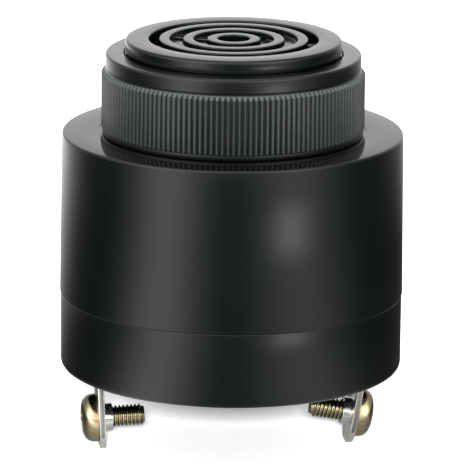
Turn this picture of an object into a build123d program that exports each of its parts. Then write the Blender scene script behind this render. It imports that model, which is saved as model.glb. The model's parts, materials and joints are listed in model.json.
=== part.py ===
from build123d import *
import math
import os

# Panel-mount electronic buzzer, modelled in millimetres.
# Origin: on the axis, in the plane of the shoulder that lies against the panel.
# +Z runs out through the grille. The two screw terminals lie on the X axis.

# Body
BODY_DIAMETER = 43.25
HOUSING_DEPTH = 20.75
COVER_DEPTH = 9.6
WALL = 2.0
SHOULDER_THICKNESS = 2.5
SHOULDER_EDGE = 0.25
COVER_FLOOR = 2.2
COVER_EDGE = 0.7
PARTING_CHAMFER = 0.2
HOUSING_FLARE = 0.23
COVER_STEP = 0.1

# Threaded neck, and the land round it that takes the panel
NECK_DIAMETER = 27.4
NECK_HEIGHT = 12.0
NECK_WALL = 3.0
NECK_EDGE = 0.3
PLAIN_RIM = 1.05
RELIEF_WIDTH = 0.75
RELIEF_DEPTH = 0.55
LAND_HEIGHT = 0.1
LAND_MARGIN = 0.45

# Grille: raised rings on a baffle that hangs in the neck on four spokes
RING_COUNT = 3
RING_FIRST = 2.7
RING_WIDTH = 1.3
OPENING_WIDTH = 1.31
GROOVE_DEPTH = 0.7
BAFFLE_THICKNESS = 1.2
RIB_DEPTH = 0.45
RIB_WIDTH = 0.45
RIB_COUNT = 3
RIB_ANGLE = 155.0
SPOKE_COUNT = 4
SPOKE_WIDTH = 1.2
SPOKE_DEPTH = 0.95

# Ring nut with a straight knurl
NUT_WALL = 2.97
NUT_HEIGHT = 10.3
NUT_CLEARANCE = 0.1
NUT_COLLAR_INSET = 0.5
NUT_RIM_INSET = 0.12
NUT_EDGE = 0.3
KNURL_COUNT = 148
KNURL_DEPTH = 0.38
KNURL_START = 0.75
KNURL_LENGTH = 6.95
KNURL_BEVEL = 0.45
KNURL_CREST_SHARE = 0.34
LINE_ABOVE_KNURL = 0.65
LINE_WIDTH = 0.2
LINE_DEPTH = 0.15
BORE_CHAMFER = 0.15

# Screw terminals: a tab with an extruded, tapped collar, and its screw
TAB_INSET = 4.6
TAB_WIDTH = 6.4
TAB_THICKNESS = 0.8
TAB_CORNER = 2.3
TAB_BEND_BELOW = 0.7
TAB_ANGLE_LEFT = 3.0
TAB_ANGLE_RIGHT = 10.0
TAB_SHOULDER_WIDTH = 7.6
TAB_SHOULDER_HEIGHT = 1.4
TAIL_WIDTH = 2.4
TAIL_ABOVE_BOARD = 0.8
SLOT_CLEARANCE = 0.1
SCREW_BELOW_COVER = 7.07
SCREW_TO_TAB_END = 3.8
COLLAR_DIAMETER = 3.5
COLLAR_LENGTH = 1.1
SCREW_DIAMETER = 2.75
SCREW_LENGTH = 6.0
SCREW_CLEARANCE = 0.05
SCREW_TIP = 0.35
HEAD_DIAMETER = 6.2
HEAD_HEIGHT = 2.1
HEAD_RIM = 1.15
HEAD_SHOULDER = 1.8
HEAD_CORNER = 0.6
HEAD_CROWN = 3.0
RECESS_SPAN = 3.4
RECESS_WIDTH = 0.7
RECESS_DEPTH = 1.1

# Sound element: ceramic on a brass disc, held in a soft ring under the shoulder
BRASS_MARGIN = 2.0
BRASS_THICKNESS = 0.25
CERAMIC_MARGIN = 5.0
CERAMIC_THICKNESS = 0.25
MOUNT_HEIGHT = 1.3
MOUNT_GRIP = 1.2
MOUNT_GAP = 0.05
SPACER_HEIGHT = 11.4
SPACER_WALL = 2.4
SPACER_GATE_COUNT = 4
SPACER_GATE_WIDTH = 5.0
SPACER_GATE_HEIGHT = 4.0
FIT_GAP = 0.15

# Circuit board and the parts on it
BOARD_THICKNESS = 1.6
SPIGOT_WALL = 1.25
HOLE_CLEARANCE = 0.12
PIN_SIZE = 0.5
PIN_BELOW_BOARD = 1.2
RESISTOR_LENGTH = 6.0
RESISTOR_DIAMETER = 2.2
DIODE_LENGTH = 4.6
DIODE_DIAMETER = 2.5
AXIAL_LEAD_REACH = 1.5
AXIAL_LIFT = 0.4
TRANSISTOR_DIAMETER = 4.8
TRANSISTOR_FLAT = 1.3
TRANSISTOR_HEIGHT = 4.8
TRANSISTOR_LIFT = 2.0
TRANSISTOR_PITCH = 1.7
CAPACITOR_DIAMETER = 5.0
CAPACITOR_HEIGHT = 7.0
CAPACITOR_CRIMP = 0.3
CAPACITOR_PITCH = 2.5
DISC_CAP_DIAMETER = 5.4
DISC_CAP_THICKNESS = 2.4
DISC_CAP_LIFT = 1.2
CHOKE_DIAMETER = 8.4
CHOKE_HEIGHT = 7.6
CHOKE_FLANGE = 1.1
CHOKE_HUB = 3.6
WINDING_INSET = 0.5
WINDING_GAP = 0.06
CHOKE_PITCH = 5.0

# Insulated hook-up leads between the board and the sound element
WIRE_DIAMETER = 0.9
WIRE_BEND = 1.5
WIRE_RISE = 2.6

# Places on the board and the sound element, as shares of the board's radius along x and y
DRIVE_SOLDER = (-0.155, 0.078)
FEEDBACK_SOLDER = (0.439, 0.284)
COMMON_SOLDER = (0.078, 0.755)
DRIVE_PAD = (-0.362, 0.439)
FEEDBACK_PAD = (0.181, 0.362)
COMMON_PAD = (-0.103, 0.543)
TRANSISTOR_PLACE = (0.388, -0.129)
CHOKE_PLACE = (-0.388, -0.181)
CAPACITOR_PLACE = (0.078, -0.543)
DISC_CAP_PLACE = (0.465, -0.465)
DRIVE_RESISTOR_PLACE = (0.0, 0.129)
FEEDBACK_RESISTOR_PLACE = (0.594, 0.233)
DIODE_PLACE = (-0.543, 0.258)

# How far each component is turned on the board, in degrees
TRANSISTOR_ANGLE = 90.0
CHOKE_ANGLE = 0.0
CAPACITOR_ANGLE = 0.0
DISC_CAP_ANGLE = 30.0
RESISTOR_ANGLE = 90.0
DIODE_ANGLE = 60.0

# Cutting tools run this far past the faces that they open
OVERCUT = 1.0

# Derived places
BODY_R = BODY_DIAMETER / 2
SKIRT_R = BODY_R + HOUSING_FLARE
COVER_R = SKIRT_R - COVER_STEP
INNER_R = BODY_R - WALL
PARTING_Z = -HOUSING_DEPTH
BASE_Z = PARTING_Z - COVER_DEPTH
FLOOR_Z = BASE_Z + COVER_FLOOR
CEILING_Z = -SHOULDER_THICKNESS
NECK_R = NECK_DIAMETER / 2
BORE_R = NECK_R - NECK_WALL
RING_LAST = BORE_R - OPENING_WIDTH - RING_WIDTH / 2
RING_PITCH = (RING_LAST - RING_FIRST) / (RING_COUNT - 1)
SEAT_Z = -LAND_HEIGHT
NUT_R = NECK_R + NUT_WALL
NUT_BORE_R = NECK_R + NUT_CLEARANCE
NUT_TOP_Z = SEAT_Z + NUT_HEIGHT
LAND_R = NUT_R + LAND_MARGIN
TAB_X = BODY_R - TAB_INSET
BRASS_R = INNER_R - BRASS_MARGIN
CERAMIC_R = BRASS_R - CERAMIC_MARGIN
BRASS_TOP_Z = CEILING_Z - MOUNT_HEIGHT
BRASS_BOTTOM_Z = BRASS_TOP_Z - BRASS_THICKNESS
CERAMIC_BOTTOM_Z = BRASS_BOTTOM_Z - CERAMIC_THICKNESS
BOARD_TOP_Z = BRASS_BOTTOM_Z - SPACER_HEIGHT
BOARD_BOTTOM_Z = BOARD_TOP_Z - BOARD_THICKNESS
FITTED_R = INNER_R - FIT_GAP
SCREW_BORE_R = SCREW_DIAMETER / 2 + SCREW_CLEARANCE


def turned(points):
    """Revolve a closed outline of (radius, height) points about the Z axis."""
    face = make_face(Polyline([(r, 0, z) for r, z in points], close=True))
    return revolve(face, Axis.Z)


def post(radius, low, high, x=0.0, y=0.0):
    """A round post from one height to another."""
    return Pos(x, y, low) * Cylinder(
        radius, high - low, align=(Align.CENTER, Align.CENTER, Align.MIN)
    )


def block(x_size, y_size, low, high, x=0.0, y=0.0):
    """A rectangular block centred on (x, y), from one height to another."""
    return Pos(x, y, low) * Box(
        x_size, y_size, high - low, align=(Align.CENTER, Align.CENTER, Align.MIN)
    )


def ring(outer, inner, low, high):
    """A plain ring on the Z axis."""
    return post(outer, low, high) - post(inner, low - OVERCUT, high + OVERCUT)


def placed(shape, place, angle):
    """Put a shape drawn at the board's centre at its place, turned by an angle."""
    x, y = place
    return Pos(x * FITTED_R, y * FITTED_R, BOARD_TOP_Z) * Rot(0, 0, angle) * shape


def pin_point(place, angle, offset):
    """Where a pin at an offset from its component's middle goes through the board."""
    x, y = place
    turn = math.radians(angle)
    return (x * FITTED_R + math.cos(turn) * offset, y * FITTED_R + math.sin(turn) * offset)


def radial_bars(count, start, width, inner, outer, low, high):
    """Straight bars that run outward from one radius to another."""
    bars = []
    for i in range(count):
        bar = block(outer - inner, width, low, high, x=(inner + outer) / 2)
        bars.append(Rot(0, 0, start + i * 360.0 / count) * bar)
    return bars


def housing():
    """One moulding: round shell, shoulder, threaded neck and grille."""
    neck_base = NECK_HEIGHT - PLAIN_RIM - RELIEF_WIDTH
    relief_r = NECK_R - RELIEF_DEPTH
    shell = turned([
        (SKIRT_R, PARTING_Z),
        (BODY_R, -SHOULDER_EDGE),
        (BODY_R - SHOULDER_EDGE, 0),
        (LAND_R, 0),
        (LAND_R, SEAT_Z),
        (NECK_R, SEAT_Z),
        (NECK_R, neck_base),
        (relief_r, neck_base + RELIEF_DEPTH / 2),
        (relief_r, neck_base + RELIEF_WIDTH),
        (NECK_R, neck_base + RELIEF_WIDTH),
        (NECK_R, NECK_HEIGHT - NECK_EDGE),
        (NECK_R - NECK_EDGE, NECK_HEIGHT),
        (BORE_R, NECK_HEIGHT),
        (BORE_R, CEILING_Z),
        (INNER_R, CEILING_Z),
        (INNER_R, PARTING_Z),
    ])
    return shell + grille()


def grille():
    """Concentric rings on a blind baffle with a centre hole, carried by four spokes."""
    floor_z = NECK_HEIGHT - GROOVE_DEPTH
    under_z = floor_z - BAFFLE_THICKNESS
    inner_r = RING_FIRST - RING_WIDTH / 2
    outer_r = RING_LAST + RING_WIDTH / 2
    outline = [(inner_r, under_z), (inner_r, NECK_HEIGHT)]
    for i in range(RING_COUNT):
        edge = RING_FIRST + i * RING_PITCH + RING_WIDTH / 2
        outline.append((edge, NECK_HEIGHT))
        if i < RING_COUNT - 1:
            outline.append((edge, floor_z))
            outline.append((edge + RING_PITCH - RING_WIDTH, floor_z))
            outline.append((edge + RING_PITCH - RING_WIDTH, NECK_HEIGHT))
    outline.append((outer_r, under_z))
    baffle = turned(outline)
    rib_top = NECK_HEIGHT - RIB_DEPTH
    for rib in radial_bars(
        RIB_COUNT, RIB_ANGLE, RIB_WIDTH, RING_FIRST, RING_LAST, under_z, rib_top
    ):
        baffle += rib
    spoke_out = (BORE_R + NECK_R) / 2
    spoke_top = NECK_HEIGHT - SPOKE_DEPTH
    for spoke in radial_bars(SPOKE_COUNT, 0, SPOKE_WIDTH, RING_LAST, spoke_out, under_z, spoke_top):
        baffle += spoke
    return baffle


def back_cover():
    """Cup that closes the back, with a spigot up to the board and two terminal slots."""
    spigot_r = FITTED_R
    cup = turned([
        (COVER_R, PARTING_Z - PARTING_CHAMFER),
        (COVER_R - PARTING_CHAMFER, PARTING_Z),
        (spigot_r, PARTING_Z),
        (spigot_r, BOARD_BOTTOM_Z),
        (spigot_r - SPIGOT_WALL, BOARD_BOTTOM_Z),
        (spigot_r - SPIGOT_WALL, FLOOR_Z),
        (0, FLOOR_Z),
        (0, BASE_Z),
        (COVER_R - COVER_EDGE, BASE_Z),
        (COVER_R, BASE_Z + COVER_EDGE),
    ])
    for side in (-1, 1):
        cup -= block(
            TAB_THICKNESS + 2 * SLOT_CLEARANCE,
            TAB_WIDTH + 2 * SLOT_CLEARANCE,
            BASE_Z - OVERCUT,
            FLOOR_Z + OVERCUT,
            x=side * TAB_X,
        )
    return cup


def knurl_profile():
    """Outline across the knurl: straight ribs with planar flanks and a narrow flat crest."""
    root_r = NUT_R - KNURL_DEPTH
    points = []
    for i in range(KNURL_COUNT):
        for radius, share in (
            (root_r, 0.0),
            (NUT_R, (1 - KNURL_CREST_SHARE) / 2),
            (NUT_R, (1 + KNURL_CREST_SHARE) / 2),
        ):
            angle = 2 * math.pi * (i + share) / KNURL_COUNT
            points.append((radius * math.cos(angle), radius * math.sin(angle)))
    return make_face(Polyline(points, close=True))


def bevel_tool():
    """Many-sided pyramid, with one sloping face for each rib, that bevels the ribs' tops."""
    crest = NUT_R * math.cos(math.pi * KNURL_CREST_SHARE / KNURL_COUNT)
    outline = RegularPolygon(crest, KNURL_COUNT, major_radius=False)
    slope = math.degrees(math.atan(KNURL_DEPTH / KNURL_BEVEL))
    return extrude(Rot(0, 0, 180 / KNURL_COUNT) * outline, KNURL_BEVEL, taper=slope)


def ring_nut():
    """Round nut: plain rim, straight knurl with bevelled tops, and a smooth collar."""
    base = SEAT_Z
    knurl_low = base + KNURL_START
    knurl_top = knurl_low + KNURL_LENGTH
    bevel_top = knurl_top + KNURL_BEVEL
    root_r = NUT_R - KNURL_DEPTH
    rim_r = NUT_R - NUT_RIM_INSET
    collar_r = NUT_R - NUT_COLLAR_INSET
    line_low = knurl_top + LINE_ABOVE_KNURL
    line_r = collar_r - LINE_DEPTH
    ribs = Pos(0, 0, knurl_low) * extrude(knurl_profile(), knurl_top - knurl_low)
    bevels = Pos(0, 0, knurl_top) * (extrude(knurl_profile(), KNURL_BEVEL) & bevel_tool())
    bore = post(NUT_BORE_R, base - OVERCUT, NUT_TOP_Z + OVERCUT)
    core = turned([
        (NUT_BORE_R + BORE_CHAMFER, base),
        (rim_r - NUT_EDGE, base),
        (rim_r, base + NUT_EDGE),
        (rim_r, knurl_low),
        (line_r, knurl_low),
        (line_r, knurl_top),
        (collar_r, bevel_top),
        (collar_r, line_low),
        (line_r, line_low + LINE_WIDTH / 2),
        (collar_r, line_low + LINE_WIDTH),
        (collar_r, NUT_TOP_Z - NUT_EDGE),
        (collar_r - NUT_EDGE, NUT_TOP_Z),
        (NUT_BORE_R + BORE_CHAMFER, NUT_TOP_Z),
        (NUT_BORE_R, NUT_TOP_Z - BORE_CHAMFER),
        (NUT_BORE_R, base + BORE_CHAMFER),
    ])
    return core + (ribs - bore) + (bevels - bore)


def tab_bend(lean):
    """The frame at a right-hand tab's bend, leaning its lower end towards the axis."""
    return Pos(TAB_X, 0, BASE_Z - TAB_BEND_BELOW) * Rot(0, lean, 0)


def screw_drop(lean):
    """Distance down the leaning tab from its bend to the screw's axis."""
    return (SCREW_BELOW_COVER - TAB_BEND_BELOW) / math.cos(math.radians(lean))


def screw_seat(lean):
    """The frame where a right-hand screw's head seats: +Z outward along the screw."""
    return tab_bend(lean) * Pos(TAB_THICKNESS / 2, 0, -screw_drop(lean)) * Rot(0, 90, 0)


def tab_blank():
    """Front outline of a terminal blank, standing in the YZ plane, before it is bent."""
    end = SCREW_BELOW_COVER + SCREW_TO_TAB_END
    strip = [
        (TAIL_WIDTH, FLOOR_Z, BOARD_TOP_Z + TAIL_ABOVE_BOARD),
        (TAB_SHOULDER_WIDTH, FLOOR_Z, FLOOR_Z + TAB_SHOULDER_HEIGHT),
        (TAB_WIDTH, BASE_Z - end, FLOOR_Z),
    ]
    outline = Sketch()
    for width, low, high in strip:
        outline += Pos(0, (low + high) / 2) * Rectangle(width, high - low)
    foot = [v for v in outline.vertices() if v.Y < BASE_Z - end + 0.01]
    return fillet(foot, TAB_CORNER)


def terminal(lean):
    """A right-hand terminal: flat tail, shoulders, leaning tab and extruded collar."""
    half = TAB_THICKNESS / 2
    mitre = half * math.tan(math.radians(lean / 2))
    bend_z = BASE_Z - TAB_BEND_BELOW
    drop = SCREW_BELOW_COVER + SCREW_TO_TAB_END
    slope = math.tan(math.radians(lean))
    top = BOARD_TOP_Z + TAIL_ABOVE_BOARD
    side = make_face(Polyline([
        (TAB_X + half, 0, top),
        (TAB_X + half, 0, bend_z + mitre),
        (TAB_X + half - slope * drop, 0, bend_z + mitre - drop),
        (TAB_X - half - slope * drop, 0, bend_z - mitre - drop),
        (TAB_X - half, 0, bend_z - mitre),
        (TAB_X - half, 0, top),
    ], close=True))
    strip = extrude(side, TAB_SHOULDER_WIDTH / 2 + OVERCUT, both=True)
    outline = extrude(Plane.YZ * tab_blank(), TAB_X + drop)
    seat = screw_seat(lean)
    collar = seat * post(COLLAR_DIAMETER / 2, -TAB_THICKNESS - COLLAR_LENGTH, -half)
    bore = seat * post(SCREW_BORE_R, -TAB_THICKNESS - COLLAR_LENGTH - OVERCUT, OVERCUT)
    return (strip & outline) + collar - bore


def terminal_screw(lean):
    """A right-hand binding-head screw with a cross recess, seated on its tab."""
    r = SCREW_DIAMETER / 2
    head_r = HEAD_DIAMETER / 2
    screw = turned([
        (0, HEAD_HEIGHT),
        (0, -SCREW_LENGTH),
        (r - SCREW_TIP, -SCREW_LENGTH),
        (r, -SCREW_LENGTH + SCREW_TIP),
        (r, 0),
        (head_r, 0),
        (head_r, HEAD_RIM),
        (head_r - HEAD_CORNER, HEAD_SHOULDER),
        (HEAD_CROWN / 2, HEAD_HEIGHT),
    ])
    for turn in (45, 135):
        wing = block(RECESS_SPAN, RECESS_WIDTH, HEAD_HEIGHT - RECESS_DEPTH, HEAD_HEIGHT + OVERCUT)
        screw -= Rot(0, 0, turn) * wing
    return screw_seat(lean) * screw


def brass_diaphragm():
    """Thin brass disc that carries the ceramic."""
    return post(BRASS_R, BRASS_BOTTOM_Z, BRASS_TOP_Z)


def ceramic_disc():
    """Ceramic disc bonded under the brass."""
    return post(CERAMIC_R, CERAMIC_BOTTOM_Z, BRASS_BOTTOM_Z)


def diaphragm_mount():
    """Soft ring under the shoulder, rebated for the edge of the brass disc."""
    body = ring(FITTED_R, BRASS_R - MOUNT_GRIP, BRASS_BOTTOM_Z, CEILING_Z)
    return body - post(BRASS_R + MOUNT_GAP, BRASS_BOTTOM_Z - OVERCUT, BRASS_TOP_Z)


def spacer_tube():
    """Tube that presses disc and mount against the shoulder, gated round the terminals' tails."""
    tube = ring(FITTED_R, FITTED_R - SPACER_WALL, BOARD_TOP_Z, BRASS_BOTTOM_Z)
    gates = radial_bars(
        SPACER_GATE_COUNT,
        0,
        SPACER_GATE_WIDTH,
        FITTED_R - 2 * SPACER_WALL,
        FITTED_R + SPACER_WALL,
        BOARD_TOP_Z - OVERCUT,
        BOARD_TOP_Z + SPACER_GATE_HEIGHT,
    )
    for gate in gates:
        tube -= gate
    return tube


def pin(x, y=0.0, high=0.0):
    """A component's square pin, through the board from a height above it."""
    return block(PIN_SIZE, PIN_SIZE, -BOARD_THICKNESS - PIN_BELOW_BOARD, high, x=x, y=y)


def axial_span(length):
    """Distance between the two pins of an axial part."""
    return length + 2 * AXIAL_LEAD_REACH


def axial_part(length, diameter):
    """A round-bodied part lying over the board on its two bent leads."""
    height = AXIAL_LIFT + diameter / 2
    reach = axial_span(length) / 2
    part = Pos(0, 0, height) * Rot(0, 90, 0) * post(diameter / 2, -length / 2, length / 2)
    part += block(2 * reach + PIN_SIZE, PIN_SIZE, height - PIN_SIZE / 2, height + PIN_SIZE / 2)
    for side in (-1, 1):
        part += pin(side * reach, high=height)
    return part


def resistor():
    """Cylindrical moulded resistor."""
    return axial_part(RESISTOR_LENGTH, RESISTOR_DIAMETER)


def protection_diode():
    """Cylindrical diode, a little thicker and shorter than the resistors."""
    return axial_part(DIODE_LENGTH, DIODE_DIAMETER)


def transistor():
    """Round-backed, flat-faced transistor standing on three pins."""
    top = TRANSISTOR_LIFT + TRANSISTOR_HEIGHT
    part = post(TRANSISTOR_DIAMETER / 2, TRANSISTOR_LIFT, top)
    part -= Pos(0, -TRANSISTOR_FLAT - TRANSISTOR_DIAMETER, 0) * block(
        2 * TRANSISTOR_DIAMETER, 2 * TRANSISTOR_DIAMETER, TRANSISTOR_LIFT - OVERCUT, top + OVERCUT
    )
    for i in (-1, 0, 1):
        part += pin(i * TRANSISTOR_PITCH, high=TRANSISTOR_LIFT + PIN_SIZE)
    return part


def reservoir_capacitor():
    """Round can capacitor with a crimped waist."""
    r = CAPACITOR_DIAMETER / 2
    crimp_z = CAPACITOR_HEIGHT / 6
    part = turned([
        (0, 0),
        (r, 0),
        (r, crimp_z),
        (r - CAPACITOR_CRIMP, crimp_z + CAPACITOR_CRIMP),
        (r, crimp_z + 2 * CAPACITOR_CRIMP),
        (r, CAPACITOR_HEIGHT),
        (0, CAPACITOR_HEIGHT),
    ])
    for side in (-1, 1):
        part += pin(side * CAPACITOR_PITCH / 2, high=PIN_SIZE)
    return part


def ceramic_capacitor():
    """Dipped disc capacitor standing on edge."""
    half = DISC_CAP_THICKNESS / 2
    centre_z = DISC_CAP_LIFT + DISC_CAP_DIAMETER / 2
    part = Pos(0, 0, centre_z) * Rot(90, 0, 0) * post(DISC_CAP_DIAMETER / 2, -half, half)
    for side in (-1, 1):
        part += pin(side * CAPACITOR_PITCH / 2, high=centre_z)
    return part


def choke_core():
    """Drum core of the step-up choke, on its two pins."""
    r = CHOKE_DIAMETER / 2
    hub_r = CHOKE_HUB / 2
    part = turned([
        (0, 0),
        (r, 0),
        (r, CHOKE_FLANGE),
        (hub_r, CHOKE_FLANGE),
        (hub_r, CHOKE_HEIGHT - CHOKE_FLANGE),
        (r, CHOKE_HEIGHT - CHOKE_FLANGE),
        (r, CHOKE_HEIGHT),
        (0, CHOKE_HEIGHT),
    ])
    for side in (-1, 1):
        part += pin(side * CHOKE_PITCH / 2, high=PIN_SIZE)
    return part


def choke_winding():
    """Copper winding that fills the drum between its flanges."""
    return ring(
        CHOKE_DIAMETER / 2 - WINDING_INSET,
        CHOKE_HUB / 2 + WINDING_GAP,
        CHOKE_FLANGE,
        CHOKE_HEIGHT - CHOKE_FLANGE,
    )


def pin_points():
    """Every place where a component's pin goes through the board."""
    pairs = (
        (TRANSISTOR_PLACE, TRANSISTOR_ANGLE, 2 * TRANSISTOR_PITCH),
        (CHOKE_PLACE, CHOKE_ANGLE, CHOKE_PITCH),
        (CAPACITOR_PLACE, CAPACITOR_ANGLE, CAPACITOR_PITCH),
        (DISC_CAP_PLACE, DISC_CAP_ANGLE, CAPACITOR_PITCH),
        (DRIVE_RESISTOR_PLACE, RESISTOR_ANGLE, axial_span(RESISTOR_LENGTH)),
        (FEEDBACK_RESISTOR_PLACE, RESISTOR_ANGLE, axial_span(RESISTOR_LENGTH)),
        (DIODE_PLACE, DIODE_ANGLE, axial_span(DIODE_LENGTH)),
    )
    points = [pin_point(TRANSISTOR_PLACE, TRANSISTOR_ANGLE, 0)]
    for place, angle, span in pairs:
        for side in (-1, 1):
            points.append(pin_point(place, angle, side * span / 2))
    return points


def circuit_board():
    """Round board clamped between the spacer and the cover's spigot."""
    board = post(FITTED_R, BOARD_BOTTOM_Z, BOARD_TOP_Z)
    for x, y in pin_points():
        hole_r = PIN_SIZE / math.sqrt(2) + HOLE_CLEARANCE
        board -= post(hole_r, BOARD_BOTTOM_Z - OVERCUT, BOARD_TOP_Z + OVERCUT, x=x, y=y)
    for side in (-1, 1):
        board -= block(
            TAB_THICKNESS + 2 * SLOT_CLEARANCE,
            TAIL_WIDTH + 2 * SLOT_CLEARANCE,
            BOARD_BOTTOM_Z - OVERCUT,
            BOARD_TOP_Z + OVERCUT,
            x=side * TAB_X,
        )
    return board


def lead(pad, solder, solder_z):
    """Insulated lead from a pad on the board up to a point under the sound element."""
    low_x, low_y = (share * FITTED_R for share in pad)
    high_x, high_y = (share * FITTED_R for share in solder)
    path = FilletPolyline(
        (low_x, low_y, BOARD_TOP_Z),
        (low_x, low_y, BOARD_TOP_Z + WIRE_RISE),
        (high_x, high_y, solder_z - WIRE_RISE),
        (high_x, high_y, solder_z),
        radius=WIRE_BEND,
    )
    section = Plane(origin=path @ 0, z_dir=path % 0) * RegularPolygon(WIRE_DIAMETER / 2, 8)
    return sweep(section, path)


def left(shape):
    """Turn a right-hand terminal piece round to the left-hand side."""
    return Rot(0, 0, 180) * shape


NODES = {
    "housing": housing(),
    "back_cover": back_cover(),
    "ring_nut": ring_nut(),
    "terminal_left": left(terminal(TAB_ANGLE_LEFT)),
    "terminal_right": terminal(TAB_ANGLE_RIGHT),
    "terminal_screw_left": left(terminal_screw(TAB_ANGLE_LEFT)),
    "terminal_screw_right": terminal_screw(TAB_ANGLE_RIGHT),
    "brass_diaphragm": brass_diaphragm(),
    "ceramic_disc": ceramic_disc(),
    "diaphragm_mount": diaphragm_mount(),
    "spacer_tube": spacer_tube(),
    "circuit_board": circuit_board(),
    "transistor": placed(transistor(), TRANSISTOR_PLACE, TRANSISTOR_ANGLE),
    "choke_core": placed(choke_core(), CHOKE_PLACE, CHOKE_ANGLE),
    "choke_winding": placed(choke_winding(), CHOKE_PLACE, CHOKE_ANGLE),
    "reservoir_capacitor": placed(reservoir_capacitor(), CAPACITOR_PLACE, CAPACITOR_ANGLE),
    "ceramic_capacitor": placed(ceramic_capacitor(), DISC_CAP_PLACE, DISC_CAP_ANGLE),
    "drive_resistor": placed(resistor(), DRIVE_RESISTOR_PLACE, RESISTOR_ANGLE),
    "feedback_resistor": placed(resistor(), FEEDBACK_RESISTOR_PLACE, RESISTOR_ANGLE),
    "protection_diode": placed(protection_diode(), DIODE_PLACE, DIODE_ANGLE),
    "drive_lead": lead(DRIVE_PAD, DRIVE_SOLDER, CERAMIC_BOTTOM_Z),
    "feedback_lead": lead(FEEDBACK_PAD, FEEDBACK_SOLDER, CERAMIC_BOTTOM_Z),
    "common_lead": lead(COMMON_PAD, COMMON_SOLDER, BRASS_BOTTOM_Z),
}

os.makedirs("parts", exist_ok=True)
for name, shape in NODES.items():
    export_step(shape, f"parts/{name}.step")
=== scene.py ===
"""Panel-mount electronic buzzer: its finished surfaces, materials and studio.

Everything is worked out in metres, in the frame of the construction model: the origin is on the
axis in the plane of the shoulder, +Z runs out through the grille, and the terminals lie along X.
"""
import json
import math

import bmesh
import bpy
import numpy as np
from bpy.props import FloatProperty, FloatVectorProperty, IntProperty, PointerProperty
from bpy.types import Operator, Panel, PropertyGroup
from mathutils import Matrix, Vector


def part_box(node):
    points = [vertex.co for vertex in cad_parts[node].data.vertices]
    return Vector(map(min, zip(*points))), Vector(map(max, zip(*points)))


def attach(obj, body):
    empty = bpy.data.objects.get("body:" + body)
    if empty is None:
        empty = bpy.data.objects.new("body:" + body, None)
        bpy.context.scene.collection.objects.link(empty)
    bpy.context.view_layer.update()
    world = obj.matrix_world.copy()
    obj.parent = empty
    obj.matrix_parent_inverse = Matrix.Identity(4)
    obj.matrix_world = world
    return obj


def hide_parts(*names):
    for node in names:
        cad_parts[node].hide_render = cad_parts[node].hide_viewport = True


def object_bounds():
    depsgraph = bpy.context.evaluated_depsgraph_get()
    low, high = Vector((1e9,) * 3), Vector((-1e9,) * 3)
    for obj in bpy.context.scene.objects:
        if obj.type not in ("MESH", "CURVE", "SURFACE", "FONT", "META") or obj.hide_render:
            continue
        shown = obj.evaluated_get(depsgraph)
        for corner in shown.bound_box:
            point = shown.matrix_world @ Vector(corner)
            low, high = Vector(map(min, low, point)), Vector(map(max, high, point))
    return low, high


bl_info = {
    "name": "Panel-mount buzzer",
    "version": (1, 0, 0),
    "blender": (4, 5, 0),
    "location": "View3D > Sidebar > Buzzer",
    "description": "Surfaces, finishes and studio of a panel-mount electronic buzzer",
    "category": "Object",
}

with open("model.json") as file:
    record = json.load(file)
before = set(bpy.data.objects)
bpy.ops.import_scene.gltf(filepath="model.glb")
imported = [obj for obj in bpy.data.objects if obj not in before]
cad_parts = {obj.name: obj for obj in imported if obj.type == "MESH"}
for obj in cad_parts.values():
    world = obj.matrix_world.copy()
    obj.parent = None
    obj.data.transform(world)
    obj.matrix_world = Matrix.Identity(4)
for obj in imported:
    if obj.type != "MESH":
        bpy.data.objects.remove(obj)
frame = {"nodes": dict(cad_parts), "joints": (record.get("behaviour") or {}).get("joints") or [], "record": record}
CAD_LOW, CAD_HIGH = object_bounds()
MM = 0.001
FULL_TURN = 2 * math.pi
SHARP_ANGLE = math.radians(32)
BEVEL_ANGLE = math.radians(40)

HOUSING_LOW, HOUSING_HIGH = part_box("housing")
COVER_LOW, COVER_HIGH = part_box("back_cover")
NUT_LOW, NUT_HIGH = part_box("ring_nut")
SKIRT_R = HOUSING_HIGH.x
COVER_R = COVER_HIGH.x
NECK_TOP = HOUSING_HIGH.z
PARTING_Z = HOUSING_LOW.z
BASE_Z = COVER_LOW.z
SPIGOT_TOP = COVER_HIGH.z
NUT_R = NUT_HIGH.x

# Points round each kind of turned piece, and rows along each thread
BODY_COLUMNS, GRILLE_COLUMNS, LINER_COLUMNS = 300, 256, 220
SCREW_COLUMNS, BAR_COLUMNS, FLOOR_COLUMNS = 96, 24, 96
NECK_ROWS, LINER_ROWS, SHANK_ROWS = 120, 110, 150

TOUCHING = 1e-6  # radii closer than this count as the same
SPECK_COLOUR = (0.16, 0.16, 0.14)
ZINC_TINTS = ((0.36, 0.38, 0.18), (0.44, 0.30, 0.21))
TIN_TINT = (0.70, 0.70, 0.72)
UP = Vector((0, 0, 1))

# Soft patches of light, which show only in reflections: each has its direction to the right of
# the camera in degrees, its sharpness and its brightness.
NEAR_GLOWS = (
    (-42, 13.6, 3.24),
    (42, 8.9, 1.60),
    (0, 0.43, 0.08),
)
# The far ones fade in, and some fade out again, between two distances in metres.
FAR_GLOWS = (
    (37, 45.0, 3.4, (0.130, 0.167), (0.260, 0.400)),
    (-151, 7.8, 1.26, (0.050, 0.210), None),
    (180, 4.0, 1.0, (0.120, 0.300), None),
)
# Those of the room also have a level share and a rise, which lift them over the horizon.
ROOM_GLOWS = (
    (-46, 5.0, 4.6, 1.0, 0.3),
    (42, 8.0, 4.4, 1.0, 0.3),
    (180, 1.5, 1.1, 1.0, 0.25),
    (0, 5.0, 1.6, 0.35, 1.0),
)
# Distances between which the floor turns white by itself, beyond the object's shadow
WHITE_FLOOR = (0.040, 0.065)

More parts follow.
